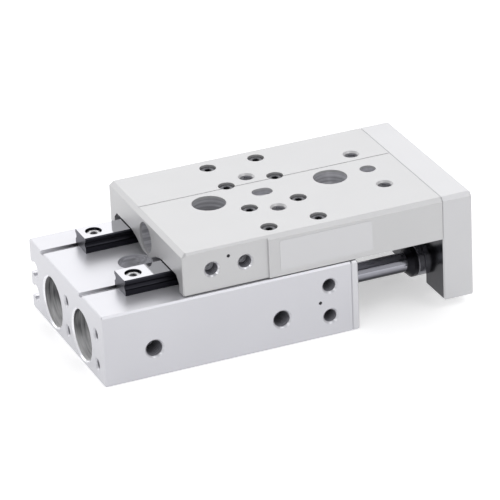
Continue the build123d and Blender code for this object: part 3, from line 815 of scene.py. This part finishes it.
def stand_copies(model, name, mouths, direction):
    """Copy a piece that points along +Z to each mouth, join the copies and remove the model."""
    turned = Vector((0, 0, 1)).rotation_difference(Vector(direction)).to_matrix().to_4x4()
    copies = []
    for mouth in mouths:
        copy = bpy.data.objects.new(name, model.data.copy())
        bpy.context.scene.collection.objects.link(copy)
        copy.matrix_world = Matrix.Translation(mouth) @ turned
        copies.append(copy)
    bpy.context.view_layer.update()
    bpy.ops.object.select_all(action="DESELECT")
    for copy in copies:
        copy.select_set(True)
    bpy.context.view_layer.objects.active = copies[0]
    bpy.ops.object.transform_apply(location=True, rotation=True, scale=True)
    if len(copies) > 1:
        bpy.ops.object.join()
    piece = bpy.context.view_layer.objects.active
    piece.name = name
    bpy.data.objects.remove(model)
    print(name, "x", len(mouths), "with", len(piece.data.polygons), "faces")
    return piece


# %% Helper that gives a new piece its finish and its body


def finish_piece(piece, slot, body, own_finish=None):
    """Give a new piece the finish of a slot, or one of its own, and let it ride on a body."""
    piece.data.materials.clear()
    piece.data.materials.append(own_finish or finish_of[slot])
    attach(piece, body)


# %% [markdown]
# ## Socket head screws
#
# A socket head screw is turned from bar: a round head with a rolled bevel round its top, a forged
# hexagon socket with a small cone at its mouth, and a shank that ends in a short point. Here the head
# starts as a cylinder. Its top edge is bevelled, its foot is inset and extruded into the shank, and the
# socket is cut with a six-sided cylinder, which stands for the punch, and a cone that eases its mouth.

# %% Helpers for cutting and selecting


def cut_with(piece, tool):
    """Take the tool away from the piece."""
    only(piece)
    cut = piece.modifiers.new("cut", "BOOLEAN")
    cut.operation = "DIFFERENCE"
    cut.solver = "EXACT"
    cut.object = tool
    bpy.ops.object.modifier_apply(modifier=cut.name)
    bpy.data.objects.remove(tool)


def select_faces(piece, wanted):
    """In edit mode, select the faces whose normal passes the test."""
    bpy.ops.mesh.select_mode(type="FACE")
    bpy.ops.mesh.select_all(action="DESELECT")
    bpy.ops.object.mode_set(mode="OBJECT")
    for face in piece.data.polygons:
        face.select = wanted(face.normal)
    bpy.ops.object.mode_set(mode="EDIT")


# %% Model one socket head screw


def socket_screw(thread, length, head, head_height, socket):
    """Screw that points along +Z, with the seat under its head at the origin."""
    rolled_edge = head / 20
    point, point_share = thread / 8, 0.8
    socket_depth = head_height / 2
    corner = socket / 2 / math.cos(math.radians(30))
    cone_radius, cone_height, cone_place = 0.9 * socket, 0.45 * socket, 0.14 * socket
    bpy.ops.object.select_all(action="DESELECT")
    bpy.ops.mesh.primitive_cylinder_add(
        vertices=48, radius=head / 2, depth=head_height, location=(0, 0, -head_height / 2),
    )
    screw = bpy.context.object
    bpy.ops.object.transform_apply(location=True)
    bpy.ops.object.mode_set(mode="EDIT")
    select_faces(screw, lambda normal: normal.z < -0.9)
    bpy.ops.mesh.bevel(offset=rolled_edge, segments=3, affect="EDGES")
    select_faces(screw, lambda normal: normal.z > 0.9)
    bpy.ops.mesh.inset(thickness=(head - thread) / 2)
    bpy.ops.mesh.extrude_region_move(TRANSFORM_OT_translate={"value": (0, 0, length - point)})
    bpy.ops.mesh.extrude_region_move(TRANSFORM_OT_translate={"value": (0, 0, point)})
    bpy.ops.transform.resize(value=(point_share, point_share, 1.0))
    bpy.ops.object.mode_set(mode="OBJECT")

    bpy.ops.object.select_all(action="DESELECT")
    bpy.ops.mesh.primitive_cylinder_add(
        vertices=6, radius=corner, depth=2 * socket_depth, location=(0, 0, -head_height),
    )
    cut_with(screw, bpy.context.object)
    bpy.ops.object.select_all(action="DESELECT")
    bpy.ops.mesh.primitive_cone_add(
        vertices=24, radius1=cone_radius, radius2=0, depth=cone_height,
        location=(0, 0, -head_height + cone_place),
    )
    cut_with(screw, bpy.context.object)
    tidy_mesh(screw, 30)
    return screw


def spaced(low, high, count):
    """Evenly spaced values from low to high, or the middle for one."""
    if count == 1:
        return [(low + high) / 2]
    return [low + (high - low) * i / (count - 1) for i in range(count)]


# %% [markdown]
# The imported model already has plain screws, and those keep their place: the box round each group gives
# where its first and last head stand. The modelled screws replace them one for one. The screws of the
# rails are zinc plated. Those of the guide blocks sit deep in the table and are blackened.

# %% Screws that hold the rails and the guide blocks
m2_thread, m2_length, m2_socket = 2.0 * mm, 5.0 * mm, 1.5 * mm
m2_head, m2_head_height = 3.8 * mm, 2.0 * mm
small_screws = (
    ("rail_screws", 4, 1, "cylinder", None),
    ("block_screws", 2, 2, "slide", black_screw),
)
for side in ("near", "far"):
    for group, in_row, rows, body, own_finish in small_screws:
        low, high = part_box(f"{side}_{group}")
        seats = [
            (x, y, high.z - m2_head_height)
            for x in spaced(low.x + m2_head / 2, high.x - m2_head / 2, in_row)
            for y in spaced(low.y + m2_head / 2, high.y - m2_head / 2, rows)
        ]
        model = socket_screw(m2_thread, m2_length, m2_head, m2_head_height, m2_socket)
        screws = stand_copies(model, f"{side}_{group}_modelled", seats, (0, 0, -1))
        finish_piece(screws, "screw_steel", body, own_finish)
        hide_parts(f"{side}_{group}")

# %% Screws that hold the end plate
for group, thread, length, head, head_height, socket in (
    ("end_plate_screws", 4.0, 12.0, 7.0, 4.0, 3.0),
    ("rod_end_screws", 2.5, 11.0, 4.5, 2.5, 2.0),
):
    low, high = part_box(group)
    seats = [
        (high.x - head_height * mm, y, (low.z + high.z) / 2)
        for y in spaced(low.y + head / 2 * mm, high.y - head / 2 * mm, 2)
    ]
    model = socket_screw(thread * mm, length * mm, head * mm, head_height * mm, socket * mm)
    screws = stand_copies(model, f"{group}_modelled", seats, (-1, 0, 0))
    finish_piece(screws, "screw_steel", "slide")
    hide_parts(group)

# %% [markdown]
# ## Threads in the tapped holes
#
# A tap cuts a spiral groove into the wall of a drilled hole, and what catches the light is the ridge
# between its turns. The imported model has the drilled holes, so the ridge is added: a small triangle with
# 60 degree flanks is swept round the hole by the Screw modifier, with the real pitch, and its top is rubbed
# flatter, as a tap leaves it. It stands a little proud of the wall, because the wall is drawn at the
# drill's diameter. The threads get a darker colour than the face, which is painted shade inside the holes.

# %% Model a thread ridge
steps_in_turn = 28


def thread_ridge(radius, pitch, start, depth):
    """Spiral ridge on the wall of a hole that points along +Z, between two depths."""
    ridge_height = 0.30 * pitch
    bite = 0.02 * mm
    foot = 0.96 * pitch
    size = foot / math.sqrt(3)
    flatter = (ridge_height + bite) / (1.5 * size)
    bpy.ops.object.select_all(action="DESELECT")
    bpy.ops.mesh.primitive_circle_add(
        vertices=3, radius=size, location=(radius + bite - flatter * size / 2, 0, start + pitch / 2),
        rotation=(math.radians(90), math.radians(-90), 0),
    )
    ridge = bpy.context.object
    ridge.scale = (1, flatter, 1)
    bpy.ops.object.transform_apply(location=True, rotation=True, scale=True)
    sweep = ridge.modifiers.new("sweep", "SCREW")
    sweep.axis = "Z"
    sweep.angle = math.tau
    sweep.screw_offset = pitch
    sweep.iterations = int((depth - start - pitch) / pitch)
    sweep.steps = sweep.render_steps = steps_in_turn
    bpy.ops.object.modifier_apply(modifier=sweep.name)
    bpy.ops.object.mode_set(mode="EDIT")
    bpy.ops.mesh.select_all(action="SELECT")
    bpy.ops.mesh.fill_holes(sides=3)
    bpy.ops.object.mode_set(mode="OBJECT")
    tidy_mesh(ridge, 50)
    return ridge


# %% [markdown]
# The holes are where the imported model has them. The mounts of the record give the middle of each pattern
# and its spacings. The air ports open on the near side of the block, so they take that side's place.

# %% Where the tapped holes are


def pattern(name, first_axis, second_axis):
    """Mouths of a bolt pattern, from its middle and its spacings along two axes."""
    mount = mounts[name]
    middle = Vector(mount["pos_m"])
    spans = [mount["dims"].get(f"spacing_{letter}_mm", 0) * mm / 2 for letter in "xy"]
    steps = [[-span, span] if span else [0] for span in spans]
    return [middle + Vector(first_axis) * a + Vector(second_axis) * b for a in steps[0] for b in steps[1]]


along, across, upright = (1, 0, 0), (0, 1, 0), (0, 0, 1)
work_holes = pattern("table_work_holes", along, across)
rear_work_holes = [mouth for mouth in work_holes if mouth.x < mounts["table_work_holes"]["pos_m"][0]]
front_work_holes = [mouth for mouth in work_holes if mouth not in rear_work_holes]
side_holes = pattern("table_side_holes", along, upright)
body_holes = pattern("body_side_holes", along, upright)
rear_holes = pattern("rear_face_holes", across, upright)
plate_holes = pattern("end_plate_holes", across, upright)
foot_holes = pattern("base_mount_holes", along, across)
ports = [
    Vector((mounts[name]["pos_m"][0], block_low.y, mounts[name]["pos_m"][2]))
    for name in ("rear_air_port", "front_air_port")
]
print(len(work_holes), "work holes,", len(rear_holes), "rear holes,", len(ports), "ports")

# %% [markdown]
# Each thread size is noted as the radius of the drilled hole and the pitch, and each hole has its depth,
# all in millimetres. The first turn lies a little below the mouth, because the mouth is countersunk.

# %% Cut the threads
m3, m4, m5, m6 = (1.25, 0.5), (1.65, 0.7), (2.1, 0.8), (2.5, 1.0)
sink = 0.45
tapped = [
    ("rear_work_hole_threads", m4, 4.2, rear_work_holes, (0, 0, -1), "anodised_table", "slide"),
    ("front_work_hole_threads", m4, 7.0, front_work_holes, (0, 0, -1), "anodised_table", "slide"),
    ("table_side_threads", m4, 4.2, side_holes, (0, 1, 0), "anodised_table", "slide"),
    ("end_plate_threads", m4, 6.0, plate_holes, (-1, 0, 0), "anodised_end_plate", "slide"),
    ("body_side_threads", m4, 7.0, body_holes, (0, 1, 0), "anodised_body", "cylinder"),
    ("rear_face_threads", m3, 6.0, rear_holes, (1, 0, 0), "anodised_body", "cylinder"),
    ("air_port_threads", m5, 7.0, ports, (0, 1, 0), "anodised_body", "cylinder"),
    ("foot_threads", m6, 8.0, foot_holes, (0, 0, 1), "anodised_body", "cylinder"),
]
for name, (radius, pitch), depth, mouths, direction, slot, body in tapped:
    ridge = thread_ridge(radius * mm, pitch * mm, sink * mm, depth * mm)
    finish_piece(stand_copies(ridge, name, mouths, direction), slot, body, thread_metal_painted_shade)

# %% [markdown]
# ## Bearing balls
#
# Each guide block runs on two rows of steel balls in the grooves of its rail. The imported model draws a
# ball with 26 flats, because there are so many. Here each one becomes a round, polished ball. It is made
# the way the real one is, from a blunt slug that is rolled until it is round: a cube is subdivided and
# all its points are pushed out to the same distance. That leaves faces of nearly one size and no pole.

# %% Model one bearing ball
ball_diameter = 1.5 * mm


def bearing_ball(diameter):
    """Ball at the origin, rolled from a cube."""
    bpy.ops.object.select_all(action="DESELECT")
    bpy.ops.mesh.primitive_cube_add(size=diameter)
    ball = bpy.context.object
    bpy.ops.object.mode_set(mode="EDIT")
    bpy.ops.mesh.select_all(action="SELECT")
    bpy.ops.mesh.subdivide(number_cuts=4)
    bpy.ops.transform.tosphere(value=1.0)
    bpy.ops.object.mode_set(mode="OBJECT")
    rolled = max(vertex.co.length for vertex in ball.data.vertices)
    ball.scale = [diameter / 2 / rolled] * 3
    bpy.ops.object.transform_apply(scale=True)
    tidy_mesh(ball, 60)
    return ball


# %% Bearing balls
balls_in_row = 9
for side in ("near", "far"):
    low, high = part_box(f"{side}_guide_balls")
    reach = (high.z - low.z) / 2
    middles = [
        (x, y, (low.z + high.z) / 2)
        for x in spaced(low.x + reach, high.x - reach, balls_in_row)
        for y in spaced(low.y + reach, high.y - reach, 2)
    ]
    balls = stand_copies(bearing_ball(ball_diameter), f"{side}_bearing_balls", middles, (0, 0, 1))
    finish_piece(balls, "ball_steel", "slide")
    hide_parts(f"{side}_guide_balls")

# %% [markdown]
# ## O-rings
#
# The plugs and the rod covers are sealed by O-rings. In its groove an O-ring is squeezed between the
# floor of the groove and the bore, so its section is no longer round but a square with well rounded
# corners. That section is drawn first, as a square whose corners are bevelled, and then it is spun round
# the middle line, the way a ring mould is turned.

# %% Model one squeezed O-ring
rounded_share = 0.35


def squeezed_ring(outer, section):
    """Ring round the Z axis at the origin, with a square section that has rounded corners."""
    bpy.ops.object.select_all(action="DESELECT")
    bpy.ops.mesh.primitive_plane_add(
        size=section, location=(outer - section / 2, 0, 0), rotation=(math.radians(90), 0, 0),
    )
    bpy.ops.object.transform_apply(location=True, rotation=True, scale=True)
    ring = bpy.context.object
    bpy.ops.object.mode_set(mode="EDIT")
    bpy.ops.mesh.select_all(action="SELECT")
    bpy.ops.mesh.bevel(offset=rounded_share * section, segments=4, affect="VERTICES")
    bpy.ops.mesh.select_all(action="SELECT")
    bpy.ops.mesh.delete(type="ONLY_FACE")
    bpy.ops.mesh.select_all(action="SELECT")
    bpy.ops.mesh.spin(steps=60, angle=math.tau, center=(0, 0, 0), axis=(0, 0, 1))
    bpy.ops.object.mode_set(mode="OBJECT")
    tidy_mesh(ring, 40)
    return ring


# %% O-rings
for side in ("near", "far"):
    for ring_name in ("plug_o_ring", "cover_o_ring"):
        low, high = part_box(f"{side}_{ring_name}")
        o_ring = stand_copies(
            squeezed_ring((high.z - low.z) / 2, high.x - low.x), f"{side}_{ring_name}_round",
            [(low + high) / 2], (1, 0, 0),
        )
        finish_piece(o_ring, "seal_rubber", "cylinder")
        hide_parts(f"{side}_{ring_name}")

# %% [markdown]
# ## Blank rating label
#
# A thin silver label is stuck on the side of the table. It is left blank here. A plane with rounded
# corners is extruded to the thickness of the film, six hundredths of a millimetre, and then turned and
# moved so that its back lies on the metal.

# %% Model the label
label_from, label_to = 11.9 * mm, 36.3 * mm
label_foot, label_head = 20.4 * mm, 28.3 * mm
film = 0.06 * mm
label_corner = 0.5 * mm
table_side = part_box("table")[0].y

bpy.ops.object.select_all(action="DESELECT")
bpy.ops.mesh.primitive_plane_add(size=1.0)
label = bpy.context.object
label.name = "blank_rating_label"
label.scale = (label_to - label_from, label_head - label_foot, 1.0)
bpy.ops.object.transform_apply(scale=True)
bpy.ops.object.mode_set(mode="EDIT")
bpy.ops.mesh.select_all(action="SELECT")
bpy.ops.mesh.bevel(offset=label_corner, segments=5, affect="VERTICES")
bpy.ops.mesh.select_all(action="SELECT")
bpy.ops.mesh.extrude_region_move(TRANSFORM_OT_translate={"value": (0, 0, film)})
bpy.ops.object.mode_set(mode="OBJECT")
label.rotation_euler = (math.radians(90), 0, 0)
label.location = ((label_from + label_to) / 2, table_side, (label_foot + label_head) / 2)
bpy.ops.object.transform_apply(location=True, rotation=True)
tidy_mesh(label, 30)
print("label", round((label_to - label_from) / mm, 1), "mm long")

# %% [markdown]
# The film is polyester with a silver coat under its clear face. It mirrors softly, and it has faint
# ripples about three millimetres across where it was rubbed down.

# %% Silver film of the label
ripple_size = 3 * mm
ripple_depth = 0.05 * mm

silver_film, tree = new_material("silver_label_film")
place = add_node(tree, "ShaderNodeTexCoord").outputs["Object"]
ripple = add_node(tree, "ShaderNodeTexNoise", {"Vector": place, "Scale": 1 / ripple_size, "Detail": 1.0})
relief = add_node(
    tree, "ShaderNodeBump", {"Height": ripple.outputs["Fac"], "Strength": 0.05, "Distance": ripple_depth},
)
film_shader = add_node(
    tree, "ShaderNodeBsdfPrincipled",
    {"Base Color": linear("#C8C8CA"), "Metallic": 0.8, "Roughness": 0.38, "Normal": relief.outputs[0]},
)
add_node(tree, "ShaderNodeOutputMaterial", {"Surface": film_shader.outputs[0]})
label.data.materials.append(silver_film)
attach(label, "slide")
print("label rides on the slide")
